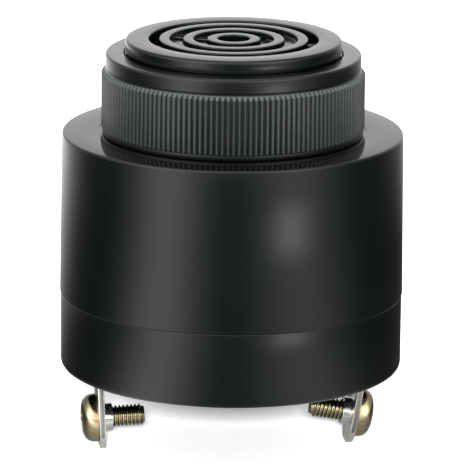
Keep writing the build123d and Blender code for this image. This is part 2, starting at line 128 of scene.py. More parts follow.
# Finishes of the hidden pieces, by material slot: the colour and roughness, and where they
# aren't the usual ones, the metallic share, the grain and the scale of its noise
HIDDEN_FINISHES = {
    "brass_sheet": ((0.80, 0.60, 0.26), 0.28, 1.0),
    "piezo_ceramic": ((0.76, 0.76, 0.72), 0.38, 0.6),
    "soft_ring": ((0.26, 0.26, 0.26), 0.62),
    "spacer_moulding": ((0.66, 0.64, 0.58), 0.42),
    "board_laminate": ((0.36, 0.24, 0.10), 0.5, 0.0, 6e-6),
    "epoxy_black": ((0.025, 0.025, 0.027), 0.5, 0.0, 6e-6),
    "ferrite": ((0.10, 0.10, 0.11), 0.48, 0.0, 8e-6),
    "copper_wire": ((0.62, 0.26, 0.10), 0.3, 1.0, 2e-5, 900),
    "can_sleeve": ((0.03, 0.05, 0.16), 0.3),
    "dipped_ceramic": ((0.62, 0.34, 0.08), 0.3),
    "resistor_lacquer": ((0.60, 0.48, 0.32), 0.4),
    "red_insulation": ((0.50, 0.03, 0.02), 0.42),
    "blue_insulation": ((0.03, 0.08, 0.40), 0.42),
    "black_insulation": ((0.02, 0.02, 0.02), 0.42),
}


def length(name, description, millimetres):
    """A length that a user may change, written in millimetres and kept in metres."""
    return FloatProperty(
        name=name, description=description, default=millimetres * MM, min=0.0, precision=5,
        unit="LENGTH",
    )


def angle(name, description, degrees):
    """An angle that a user may change."""
    return FloatProperty(
        name=name, description=description, default=math.radians(degrees), subtype="ANGLE"
    )


def tint(name, description, default):
    """A linear colour that a user may change."""
    return FloatVectorProperty(
        name=name, description=description, default=default, size=3, min=0.0, max=1.0,
        subtype="COLOR",
    )


def amount(name, description, default, least=0.0):
    """A plain number that a user may change."""
    return FloatProperty(name=name, description=description, default=default, min=least)


class BodySettings(PropertyGroup):
    """Sizes and colour of the housing and its back cover."""

    wall: length("Wall", "Thickness of the moulded walls", 2.0)
    shoulder: length("Shoulder", "Thickness of the shoulder", 2.5)
    flare: length("Flare", "Growth of the shell's radius down to the cover", 0.23)
    fitted_radius: length("Fitted radius", "Radius of the cover's spigot", 19.475)
    top_edge: length("Top edge", "Rounding of the shoulder's outer edge", 0.3)
    base_edge: length("Base edge", "Rounding of the cover's lower edge", 0.7)
    parting: length("Parting edge", "Rounding beside the parting line", 0.14)
    land: length("Land", "Height of the panel land over the nut's seat", 0.1)
    land_margin: length("Land margin", "Gap from the nut to the land", 0.45)
    neck_radius: length("Neck radius", "Outside radius of the neck's thread", 13.7)
    neck_bore: length("Neck bore", "Radius of the opening in the neck", 10.7)
    neck_edge: length("Neck edge", "Rounding of the neck's end", 0.4)
    rim: length("Plain rim", "Length of the plain rim at the neck's end", 1.5)
    relief: length("Relief", "Width of the groove under the plain rim", 0.35)
    pitch: length("Thread pitch", "Pitch of the neck's thread", 1.5)
    thread_depth: length("Thread depth", "Depth of the neck's thread", 0.6)
    floor: length("Cover floor", "Thickness of the cover's floor", 2.2)
    spigot: length("Spigot", "Thickness of the cover's spigot", 1.25)
    seam_direction: angle("Seam direction", "Direction of the fine mould seam", -120.3)
    seam_depth: length("Seam depth", "Depth of the mould seam", 0.04)
    seam_width: length("Seam width", "Half width of the mould seam", 0.06)
    seam_fade: length("Seam fade", "Run over which the seam ends, above the cover", 8.0)
    thread_start: length("Thread start", "From the nut's seat to the thread", 0.6)
    colour: tint("Plastic", "Colour of the glossy mouldings", (0.0012, 0.0028, 0.0023))
    dust: tint("Dust", "Colour of the dusty face of the grille", (0.0875, 0.0945, 0.084))


class GrilleSettings(PropertyGroup):
    """Sizes of the ringed grille."""

    rings: IntProperty(name="Rings", description="Number of raised rings", default=3, min=1)
    first: length("First ring", "Middle radius of the inner ring", 2.7)
    pitch: length("Ring pitch", "Radial distance from ring to ring", 3.02)
    width: length("Ring width", "Width of each ring", 1.3)
    groove: length("Groove", "Depth of the blind grooves", 0.7)
    baffle: length("Baffle", "Thickness under the grooves", 1.2)
    edge: length("Ring edge", "Rounding of the rings", 0.14)
    spoke_width: length("Spoke width", "Width of the four spokes", 1.2)
    spoke_depth: length("Spoke depth", "How far the spokes lie below the rings", 0.95)
    rib_width: length("Rib width", "Width of the low ribs in the grooves", 0.45)
    rib_depth: length("Rib depth", "How far the ribs lie below the rings", 0.45)
    rib_start: angle("Rib direction", "Direction of the first rib", 155)


class NutSettings(PropertyGroup):
    """Sizes and colour of the knurled ring nut."""

    ribs: IntProperty(name="Ribs", description="Number of knurl ribs", default=148, min=8)
    knurl_depth: length("Knurl depth", "Height of the ribs", 0.38)
    knurl_start: length("Knurl start", "Plain rim below the knurl", 0.75)
    knurl_length: length("Knurl length", "Length of the full ribs", 6.95)
    bevel: length("Bevel", "Length of the sloping rib ends", 0.45)
    line_above: length("Line", "Distance from knurl to turned line", 0.65)
    line_width: length("Line width", "Width of the turned line", 0.2)
    line_depth: length("Line depth", "Depth of the turned line", 0.15)
    collar_inset: length("Collar inset", "Collar radius below the ribs", 0.5)
    rim_inset: length("Rim inset", "Rim radius below the ribs", 0.12)
    edge: length("Edge", "Rounding of the outer edges", 0.3)
    clearance: length("Clearance", "Radial gap to the neck", 0.1)
    bore_edge: length("Bore edge", "Chamfer at the ends of the bore", 0.15)
    colour: tint("Nut plastic", "Colour of the satin nut", (0.0019, 0.0030, 0.0025))
    # Painted sheen: this pale colour on the knurl's crests stands in for the light that the ribs catch.
    crest_sheen: tint("Sheened plastic", "Colour of the knurl's crests", (0.0245, 0.0285, 0.0250))


class TerminalSettings(PropertyGroup):
    """Sizes and colours of the screw terminals."""

    tab_x: length("Tab place", "Distance of a tab from the axis", 17.025)
    tab_thickness: length("Tab thickness", "Thickness of a tab", 0.8)
    tab_edge: length("Tab edge", "Rounding of the stamped edges", 0.13)
    slot_length: length("Slot length", "Length of a tab's slot in the cover", 6.6)
    slot_gap: length("Slot gap", "Play of a tab's thickness in its slot", 0.2)
    bend_below: length("Bend", "Where a tab bends, below the cover", 0.7)
    screw_below: length("Screw place", "Screw axis below the cover", 7.07)
    shank_radius: length("Screw radius", "Outside radius of the thread", 1.375)
    shank_length: length("Screw length", "Length under the head", 6.0)
    pitch: length("Screw pitch", "Pitch of the thread", 0.5)
    thread_depth: length("Screw thread depth", "Depth of the thread", 0.25)
    tip: length("Tip", "Chamfer at the screw's tip", 0.35)
    head_radius: length("Head radius", "Radius of the head", 3.1)
    head_height: length("Head height", "Height of the head", 2.1)
    head_power: amount("Head fullness", "Power of its curve, 2 for an ellipse", 3.2, 2.0)
    recess_reach: length("Recess reach", "Half span of the cross recess", 1.7)
    recess_width: length("Recess width", "Half width of a recess arm", 0.36)
    recess_depth: length("Recess depth", "Depth of the cross recess", 1.1)
    zinc: tint("Zinc", "Yellow passivated zinc", (0.44, 0.41, 0.25))
    # Painted shade: the heads' zinc turns this dark colour where their faces turn away from the camera's line, for
    # the dark surroundings they mirror.
    facing_shade: tint("Shading", "Darkened zinc on the heads' faces", (0.10, 0.09, 0.05))
    tin: tint("Tin", "Bright tin plate", (0.76, 0.75, 0.70))
    # Partly real and partly painted shade: the stamped edges that face along the camera's line are dark both for
    # their bare shear and for the dark body they mirror.
    sheared_and_shaded: tint("Sheared edge", "Stamped edges of the tabs", (0.20, 0.20, 0.17))


class StudioSettings(PropertyGroup):
    """Camera, lamp, floor, and the light that shows in reflections."""

    azimuth: angle("Camera turn", "Direction of the camera, seen from above", -6.5)
    elevation: angle("Camera elevation", "Height of the camera's sight line", 13.25)
    roll: angle("Camera roll", "Tilt of the picture", 0.59)
    distance: length("Camera distance", "From the shoulder's centre", 600.0)
    lens: amount("Lens", "Focal length for a 36 mm sensor", 362.6, 20.0)
    aim_right: length("Aim right", "Picture centre, right of the axis", 0.28)
    aim_down: length("Aim down", "Picture centre, below the shoulder", 13.2)
    lamp_turn: angle("Lamp turn", "Direction of the lamp, right of the camera", 0.5)
    lamp_rise: angle("Lamp rise", "Height of the lamp over the level", 17.4)
    lamp_distance: length("Lamp distance", "From the shoulder's centre", 2000.0)
    lamp_width: length("Lamp width", "Width of the lamp", 260.0)
    lamp_height: length("Lamp height", "Height of the lamp", 120.0)
    lamp_power: amount("Lamp power", "Power of the lamp in watts", 64.0)
    glow: amount("Glow", "Scale of all the brightness that shows in reflections", 1.0)
    near_floor: length("Near floor", "Where the floor mirrors as it is lit", 45.0)
    dim_glow: amount("Dim glow", "Brightness mirrored from elsewhere", 0.12)
    shadow_floor: amount("Floor glow", "Least brightness of the floor as seen", 0.03)
    seen_floor: amount("Seen floor", "Matt light added to the floor as seen", 0.62)
    ambient: amount("Ambient", "Brightness of the even light", 0.3)
    floor_size: length("Floor", "Radius of the floor", 4000.0)
    floor_colour: tint("Floor colour", "Pale matt floor", (0.86, 0.86, 0.86))


def settings():
    """All settings of the scene, by group."""
    return bpy.context.scene.buzzer


# Surfaces


def arc_corner(before, corner, after, radius, steps):
    """Points of a circular arc that rounds one corner of an outline.

    The arc's centre lies on the corner's bisector, radius / sin(half the angle) away, and the
    points are the centre plus radius times directions blended evenly between the two tangents.
    """
    a, b = (side / np.linalg.norm(side) for side in (before - corner, after - corner))
    half = math.acos(float(np.clip(a @ b, -1, 1))) / 2
    bisector = (a + b) / np.linalg.norm(a + b)
    centre = corner + bisector * radius / math.sin(half)
    start, end = (corner + side * radius / math.tan(half) - centre for side in (a, b))
    span = math.pi - 2 * half
    t = np.linspace(0, 1, steps)[:, None]
    return centre + (np.sin((1 - t) * span) * start + np.sin(t * span) * end) / math.sin(span)


def outline(corners, closed=False, steps=5):
    """An (n, 2) outline of radius and height from corners (radius, height, rounding)."""
    xy = np.array([c[:2] for c in corners], float)
    rows = []
    for i, (*_, rounding) in enumerate(corners):
        at_end = not closed and i in (0, len(corners) - 1)
        if rounding == 0 or at_end:
            rows.append(xy[i : i + 1])
        else:
            before, after = xy[i - 1], xy[(i + 1) % len(corners)]
            rows.append(arc_corner(before, xy[i], after, rounding, steps))
    return np.concatenate(rows)


def grid_faces(rows, columns, ring, poles, start):
    """Vertex numbers of a grid's faces, counted from start. Columns always close on themselves.

    Rows close on themselves where ring is true. Where poles is true, the first and last rows
    are single points, and fans of triangles join them to their neighbours.
    """
    first = start + 1 if poles else start
    count = rows - 2 if poles else rows
    index = first + np.arange(count * columns).reshape(count, columns)
    below = index if ring else index[:-1]
    above = np.roll(index, -1, axis=0) if ring else index[1:]
    quads = np.stack(
        [below, np.roll(below, -1, axis=1), np.roll(above, -1, axis=1), above], axis=-1
    )
    faces = quads.reshape(-1, 4).tolist()
    if poles:
        last = first + count * columns
        low = np.stack([np.roll(index[0], -1), index[0], np.full(columns, start)], axis=-1)
        high = np.stack([index[-1], np.roll(index[-1], -1), np.full(columns, last)], axis=-1)
        faces += low.tolist() + high.tolist()
    return faces


def show(name, data):
    """A new object of the scene."""
    made = bpy.data.objects.new(name, data)
    bpy.context.scene.collection.objects.link(made)
    return made


def surface(name, *grids, ring=False, poles=False):
    """One mesh object from grids of points, each closed on itself, with its normals outward."""
    vertices = []
    faces = []
    for points in grids:
        faces += grid_faces(*points.shape[:2], ring, poles, sum(map(len, vertices)))
        ends = [points[:1, 0], points[-1:, 0]] if poles else [points[0], points[-1]]
        vertices += [ends[0], points[1:-1].reshape(-1, 3), ends[1]]
    mesh = bpy.data.meshes.new(name)
    mesh.from_pydata(np.concatenate(vertices).tolist(), [], faces)
    tidy_normals(mesh)
    return show(name, mesh)


def finished(work, mesh):
    """Write a mesh that was under construction."""
    work.to_mesh(mesh)
    work.free()
    return mesh


def tidy_normals(mesh):
    """Point every face outward, and shade smooth apart from real corners."""
    work = bmesh.new()
    work.from_mesh(mesh)
    bmesh.ops.recalc_face_normals(work, faces=work.faces)
    finished(work, mesh)
    mesh.polygons.foreach_set("use_smooth", np.ones(len(mesh.polygons), bool))
    mesh.set_sharp_from_angle(angle=SHARP_ANGLE)
    mesh.update()


def lathe(profile, angles, shape=None):
    """Points of a surface of revolution: every (radius, height) goes round all the angles.

    shape, where given, takes the grids of angle, radius and height and returns new radii and
    heights, so that threads, knurls and recesses are bumps on the turned form.
    """
    theta, radius = np.meshgrid(angles, profile[:, 0])
    height = np.broadcast_to(profile[:, 1:], radius.shape)
    if shape is not None:
        radius, height = shape(theta, radius, height)
    return np.stack([radius * np.cos(theta), radius * np.sin(theta), height], axis=-1)


def column(radius, low, high, rows):
    """An (n, 2) profile up a cylinder, with its rows evenly spread."""
    heights = np.linspace(low, high, rows)
    return np.stack([np.full_like(heights, radius), heights], axis=-1)


def even_angles(count):
    """Angles spread evenly round a turn."""
    return np.arange(count) * FULL_TURN / count


def thread_form(theta, height, pitch):
    """Trapezoidal thread: 1 on the crests and 0 in the roots, rising one pitch in each turn.

    The root takes up half_root to either side of the middle of a pitch, and each flank takes up
    flank of it.
    """
    half_root, flank = 0.12, 0.22
    turn = (height / pitch - theta / FULL_TURN) % 1.0
    return np.clip((np.abs(turn - 0.5) - half_root) / flank, 0, 1)


def fade(height, low, high, run):
    """1 between two heights, falling to 0 over a run at each end."""
    return np.clip((height - low) / run, 0, 1) * np.clip((high - height) / run, 0, 1)


def bar(inner, outer, width, low, high, direction):
    """Points of a straight bar: a rounded rectangle carried outward along a radius.

    The section is a superellipse of half width and half height, with its points at the powers
    of cosine and sine. The first and last rows shrink to a point, which closes the ends.
    """
    t = even_angles(BAR_COLUMNS)
    power = 0.28
    across = width / 2 * np.sign(np.cos(t)) * np.abs(np.cos(t)) ** power
    upward = (high - low) / 2 * np.sign(np.sin(t)) * np.abs(np.sin(t)) ** power
    open_rows = np.array([0, 1, 1, 0])[:, None]
    along = np.array([inner, inner, outer, outer])[:, None]
    across = across * open_rows
    x = along * math.cos(direction) - across * math.sin(direction)
    y = along * math.sin(direction) + across * math.cos(direction)
    return np.stack([x, y, (low + high) / 2 + upward * open_rows], axis=-1)


# Materials


class Nodes:
    """Adds shader nodes to a node tree."""

    def __init__(self, tree):
        self.tree = tree

    def node(self, kind, **values):
        """Add a node and set its properties."""
        made = self.tree.nodes.new(kind)
        for key, value in values.items():
            setattr(made, key, value)
        return made

    def link(self, value, socket):
        """Join an output to an input, or set the input to a plain value."""
        if isinstance(value, bpy.types.NodeSocket):
            self.tree.links.new(value, socket)
        else:
            socket.default_value = value

    def calculate(self, operation, *values):
        """Arithmetic on outputs and numbers."""
        made = self.node("ShaderNodeMath", operation=operation)
        for value, socket in zip(values, made.inputs):
            self.link(value, socket)
        return made.outputs[0]

    def times(self, first, second):
        """The product of two outputs."""
        return self.calculate("MULTIPLY", first, second)

    def vector(self, operation, first, second=(0, 0, 0)):
        """Arithmetic on a vector output and a plain vector."""
        made = self.node("ShaderNodeVectorMath", operation=operation)
        self.link(first, made.inputs[0])
        made.inputs[1].default_value = second
        number = operation in ("LENGTH", "DOT_PRODUCT")
        return made.outputs["Value" if number else "Vector"]

    def part(self, source, axis):
        """One of X, Y and Z of a vector output."""
        split = self.node("ShaderNodeSeparateXYZ")
        self.link(source, split.inputs[0])
        return split.outputs[axis]

    def spread(self, factor, low, high, start=0.3, end=0.7):
        """Map a factor from start..end to low..high."""
        mapped = self.node("ShaderNodeMapRange")
        for key, value in (
            ("From Min", start), ("From Max", end), ("To Min", low), ("To Max", high)
        ):
            mapped.inputs[key].default_value = value
        self.link(factor, mapped.inputs["Value"])
        return mapped.outputs["Result"]

    def by_ray(self, seen, mirrored, other):
        """A value for the camera's rays, one for mirrored and refracted rays, one for others."""
        paths = self.node("ShaderNodeLightPath").outputs
        bent = self.calculate("MAXIMUM", paths["Is Glossy Ray"], paths["Is Transmission Ray"])
        value = other
        for flag, choice in ((bent, mirrored), (paths["Is Camera Ray"], seen)):
            mixed = self.node("ShaderNodeMix")
            self.link(flag, mixed.inputs["Factor"])
            self.link(value, mixed.inputs[2])
            self.link(choice, mixed.inputs[3])
            value = mixed.outputs[0]
        return value

    def glow_field(self, direction, glows, base=0.0):
        """A brightness over all directions: a base and some soft lobes.

        Each lobe has a middle direction m, a sharpness k and a height h, and adds
        h * exp(k * (d . m - 1)) in the direction d.
        """
        total = base
        for middle, sharpness, height in glows:
            near = self.vector("DOT_PRODUCT", direction, middle.normalized())
            slope = self.calculate("MULTIPLY_ADD", near, sharpness, -sharpness)
            lobe = self.calculate("EXPONENT", slope)
            total = self.calculate("MULTIPLY_ADD", lobe, height, total)
        return total


class Finish(Nodes):
    """A node material under construction, on object coordinates."""

    def __init__(self, name):
        self.material = bpy.data.materials.new(name)
        self.material.use_nodes = True
        super().__init__(self.material.node_tree)
        self.shader = self.tree.nodes["Principled BSDF"]
        self.coordinates = self.node("ShaderNodeTexCoord").outputs["Object"]
        self.base = self.rough = None

    def set(self, **values):
        """Set sockets of the shader by name, with underscores for spaces."""
        for key, value in values.items():
            self.shader.inputs[key.replace("_", " ")].default_value = value

    def noise(self, scale, detail):
        """Noise of a given scale, in cells a metre."""
        texture = self.node("ShaderNodeTexNoise")
        texture.inputs["Scale"].default_value = scale
        texture.inputs["Detail"].default_value = detail
        self.link(self.coordinates, texture.inputs["Vector"])
        return texture.outputs["Fac"]

    def blend(self, factor, first, second):
        """Mix two colours, or a colour with the output of an earlier mix."""
        mixed = self.node("ShaderNodeMix", data_type="RGBA")
        self.link(factor, mixed.inputs["Factor"])
        for value, socket in ((first, mixed.inputs[6]), (second, mixed.inputs[7])):
            given = isinstance(value, bpy.types.NodeSocket)
            self.link(value if given else (*value, 1.0), socket)
        return mixed.outputs[2]

    def normal(self, axis):
        """One part of the surface's direction."""
        return self.part(self.node("ShaderNodeNewGeometry").outputs["Normal"], axis)

    def facing(self, axis, low, high):
        """0 to 1 as the surface turns towards an axis, or away from it, from low to high."""
        return self.spread(self.calculate("ABSOLUTE", self.normal(axis)), 0, 1, low, high)

    def flat(self):
        """The coordinates without their height."""
        return self.vector("MULTIPLY", self.coordinates, (1, 1, 0))

    def band(self, low, high, run=0.1 * MM):
        """1 between two heights, 0 elsewhere."""
        height = self.part(self.coordinates, "Z")
        above = self.spread(height, 0, 1, low, low + run)
        return self.times(above, self.spread(height, 1, 0, high, high + run))

    def level(self):
        """1 on level faces that look up, 0 elsewhere."""
        return self.spread(self.normal("Z"), 0, 1, 0.9, 0.99)

    def colour(self, output):
        """Use an output as the base colour, and keep it for marks to be mixed in."""
        self.base = output
        self.link(output, self.shader.inputs["Base Color"])

    def roughness(self, output):
        """Use an output as the roughness, and keep it for later changes."""
        self.rough = output
        self.link(output, self.shader.inputs["Roughness"])

    def bump(self, height, distance):
        """Raise the surface by a height map, with its full height in metres."""
        bump = self.node("ShaderNodeBump")
        bump.inputs["Strength"].default_value = 1.0
        bump.inputs["Distance"].default_value = distance
        self.link(height, bump.inputs["Height"])
        self.link(bump.outputs["Normal"], self.shader.inputs["Normal"])


def scaled(colour, factor):
    """A colour made lighter or darker."""
    return tuple(min(1.0, c * factor) for c in colour)


def moulded_plastic(name, colour, roughness, specular, grain):
    """Black moulding: faint flow clouds, a fine orange peel and a few specks of dust."""
    finish = Finish(name)
    clouds = finish.spread(finish.noise(120, 4), 0, 1)
    flow = finish.blend(clouds, scaled(colour, 0.8), scaled(colour, 1.3))
    cells = finish.node("ShaderNodeTexVoronoi", feature="F1")
    cells.inputs["Scale"].default_value = 420
    finish.link(finish.coordinates, cells.inputs["Vector"])
    specks = finish.spread(cells.outputs["Distance"], 1, 0, 0.018, 0.04)
    sparse = finish.spread(finish.noise(300, 0), 0, 0.5, 0.62, 0.66)
    finish.colour(finish.blend(finish.times(specks, sparse), flow, SPECK_COLOUR))
    finish.roughness(finish.spread(finish.noise(700, 5), roughness * 0.88, roughness * 1.14))
    finish.bump(finish.noise(5200, 3), grain)
    finish.set(Specular_IOR_Level=specular)
    return finish


def plated_metal(name, colour, tints, roughness, scale):
    """Finish of plated metal: its tint drifts between two more colours, with fine pitting."""
    finish = Finish(name)
    drift = finish.spread(finish.noise(scale, 3), 0, 1, 0.38, 0.6)
    second = finish.spread(finish.noise(scale * 1.7, 2), 0, 1, 0.45, 0.62)
    finish.colour(finish.blend(second, finish.blend(drift, colour, tints[0]), tints[1]))
    finish.roughness(finish.spread(finish.noise(2600, 4), roughness * 0.7, roughness * 1.5))
    finish.bump(finish.noise(7000, 4), 4e-6)
    finish.set(Metallic=1.0)
    return finish


def plain_finish(name, colour, roughness, metallic=0.0, grain=3e-6, scale=1500):
    """Finish of a hidden piece: its colour with a little variation and grain."""
    finish = Finish(name)
    clouds = finish.spread(finish.noise(scale, 4), 0, 1)
    finish.colour(finish.blend(clouds, scaled(colour, 0.82), scaled(colour, 1.18)))
    finish.roughness(finish.spread(finish.noise(scale * 2, 2), roughness * 0.85, roughness * 1.15))
    finish.bump(finish.noise(scale * 4, 3), grain)
    finish.set(Metallic=metallic)
    return finish.material


def glossy_plastic():
    """The glossy moulding of housing, grille and cover, with dust on the grille's level top."""
    found = bpy.data.materials.get("glossy_moulding")
    if found is None:
        s = settings().body
        finish = moulded_plastic("glossy_moulding", s.colour, 0.13, 0.25, 1.7e-6)
        face = finish.band(NECK_TOP - 0.3 * MM, NECK_TOP + 1 * MM)
        dusty = finish.times(finish.level(), face)
        finish.colour(finish.blend(dusty, finish.base, s.dust))
        found = finish.material
    return found


def dress(piece, material, body, *nodes, slot):
    """Give a piece its material, its body and the solids that it stands for. Its slot is not used."""
    piece.data.materials.clear()
    piece.data.materials.append(material)
    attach(piece, body)
    if nodes:
        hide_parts(*nodes)


# Pieces


class BUZZER_OT_housing(Operator):
    """Turned shell of the housing, with its shoulder, land and threaded neck"""

    bl_idname = "buzzer.housing"
    bl_label = "Housing"

    def execute(self, context):
        s = settings().body
        seat = -s.land
        land_r = NUT_R + s.land_margin
        rim_low = NECK_TOP - s.rim
        relief_low = rim_low - s.relief
        relief_r = s.neck_radius - s.thread_depth
        body_r = SKIRT_R - s.flare
        inner_r = body_r - s.wall
        thread_low = seat + s.thread_start
        lower = outline([
            (inner_r, PARTING_Z, 0),
            (SKIRT_R, PARTING_Z, s.parting),
            (body_r, 0, s.top_edge),
            (land_r, 0, 0.04 * MM),
            (land_r - s.land, seat, 0.04 * MM),
            (s.neck_radius, seat, 0.15 * MM),
            (s.neck_radius, thread_low, 0),
        ])
        threads = column(s.neck_radius, thread_low, relief_low, NECK_ROWS)[1:-1]
        upper = outline([
            (s.neck_radius, relief_low, 0),
            (relief_r, relief_low + 0.1 * MM, 0.03 * MM),
            (relief_r, rim_low, 0.05 * MM),
            (s.neck_radius, rim_low, 0.05 * MM),
            (s.neck_radius, NECK_TOP, s.neck_edge),
            (s.neck_bore, NECK_TOP, 0.2 * MM),
            (s.neck_bore, -s.shoulder, 0.3 * MM),
            (inner_r, -s.shoulder, 0.5 * MM),
            (inner_r, PARTING_Z + 0.1 * MM, 0),
        ])
        profile = np.concatenate([lower, threads, upper])
        seam = s.seam_direction
        beside = np.array([-0.25, -0.12, -0.05, 0.0, 0.05, 0.12, 0.25]) * MM / body_r
        angles = np.concatenate([even_angles(BODY_COLUMNS), (seam + beside) % FULL_TURN])

        def shape(theta, radius, height):
            """Cut the thread below the crest radius, and sink the mould seam by a bell curve."""
            crest = thread_form(theta, height, s.pitch)
            reach = fade(height, thread_low, relief_low, 0.5 * MM)
            on_neck = (np.abs(radius - s.neck_radius) < TOUCHING) & (height > thread_low)
            radius = radius - np.where(on_neck, s.thread_depth * (1 - crest) * reach, 0)
            away = np.angle(np.exp(1j * (theta - seam))) * body_r
            bell = s.seam_depth * np.exp(-((away / s.seam_width) ** 2))
            bell *= np.clip((height - PARTING_Z) / s.seam_fade, 0, 1)
            on_side = (radius > body_r - TOUCHING) & (height < -s.top_edge)
            return radius - np.where(on_side, bell, 0), height

        shell = surface("housing_shell", lathe(profile, np.sort(angles), shape), ring=True)
        dress(shell, glossy_plastic(), "root", "housing", slot="black_moulding")
        return {"FINISHED"}


class BUZZER_OT_grille(Operator):
    """Raised rings, blind grooves, spokes and low ribs inside the neck's end"""

    bl_idname = "buzzer.grille"
    bl_label = "Grille"

    def execute(self, context):
        g = settings().grille
        floor = NECK_TOP - g.groove
        under = floor - g.baffle
        inner = g.first - g.width / 2
        corners = [(inner, under, g.edge), (inner, NECK_TOP, g.edge)]
        for i in range(g.rings):
            edge = g.first + i * g.pitch + g.width / 2
            corners.append((edge, NECK_TOP, g.edge))
            if i < g.rings - 1:
                far = edge + g.pitch - g.width
                corners += [(edge, floor, g.edge), (far, floor, g.edge), (far, NECK_TOP, g.edge)]
        last = g.first + (g.rings - 1) * g.pitch
        corners.append((last + g.width / 2, under, g.edge))
        rings = lathe(outline(corners, closed=True), even_angles(GRILLE_COLUMNS))
        baffle = surface("grille_rings", rings, ring=True)
        dress(baffle, glossy_plastic(), "root", "housing", slot="black_moulding")
        wall = settings().body.neck_bore + 0.5 * MM
        spokes = [
            bar(last, wall, g.spoke_width, under, NECK_TOP - g.spoke_depth, i * FULL_TURN / 4)
            for i in range(4)
        ]
        ribs = [
            bar(g.first, last, g.rib_width, floor - 0.2 * MM, NECK_TOP - g.rib_depth,
                g.rib_start + i * FULL_TURN / 3)
            for i in range(3)
        ]
        bars = surface("grille_bars", *spokes, *ribs, poles=True)
        dress(bars, glossy_plastic(), "root", slot="black_moulding")
        return {"FINISHED"}


class BUZZER_OT_back_cover(Operator):
    """Turned cup of the back cover, with its spigot and the two terminal slots"""

    bl_idname = "buzzer.back_cover"
    bl_label = "Back cover"

    def execute(self, context):
        s = settings().body
        t = settings().terminals
        inner = s.fitted_radius - s.spigot
        profile = outline([
            (0, BASE_Z, 0),
            (COVER_R, BASE_Z, s.base_edge),
            (COVER_R, PARTING_Z, s.parting),
            (s.fitted_radius, PARTING_Z, 0.05 * MM),
            (s.fitted_radius, SPIGOT_TOP, 0.2 * MM),
            (inner, SPIGOT_TOP, 0.2 * MM),
            (inner, BASE_Z + s.floor, 0.4 * MM),
            (0, BASE_Z + s.floor, 0),
        ])
        cover = surface("cover_shell", lathe(profile, even_angles(BODY_COLUMNS)), poles=True)
        for side in (-1, 1):
            cut_slot(cover, side * t.tab_x, t.tab_thickness + t.slot_gap, t.slot_length,
                     BASE_Z - s.floor, BASE_Z + 2 * s.floor)
        tidy_normals(cover.data)
        dress(cover, glossy_plastic(), "root", "back_cover", slot="black_moulding")
        return {"FINISHED"}


def cut_slot(piece, x, x_size, y_size, low, high):
    """Cut a rectangular slot through a piece."""
    work = bmesh.new()
    place = Matrix.Translation((x, 0, (low + high) / 2))
    size = Matrix.Diagonal((x_size, y_size, high - low, 1))
    bmesh.ops.create_cube(work, size=1.0, matrix=place @ size)
    cutter = show("slot_cutter", finished(work, bpy.data.meshes.new("slot_cutter")))
    modifier = piece.modifiers.new("slot", "BOOLEAN")
    modifier.operation = "DIFFERENCE"
    modifier.solver = "EXACT"
    modifier.object = cutter
    apply_modifiers(piece)
    bpy.data.objects.remove(cutter)


def apply_modifiers(piece):
    """Make a piece's modifiers part of its mesh."""
    bpy.context.view_layer.update()
    graph = bpy.context.evaluated_depsgraph_get()
    mesh = bpy.data.meshes.new_from_object(piece.evaluated_get(graph))
    piece.modifiers.clear()
    piece.data = mesh


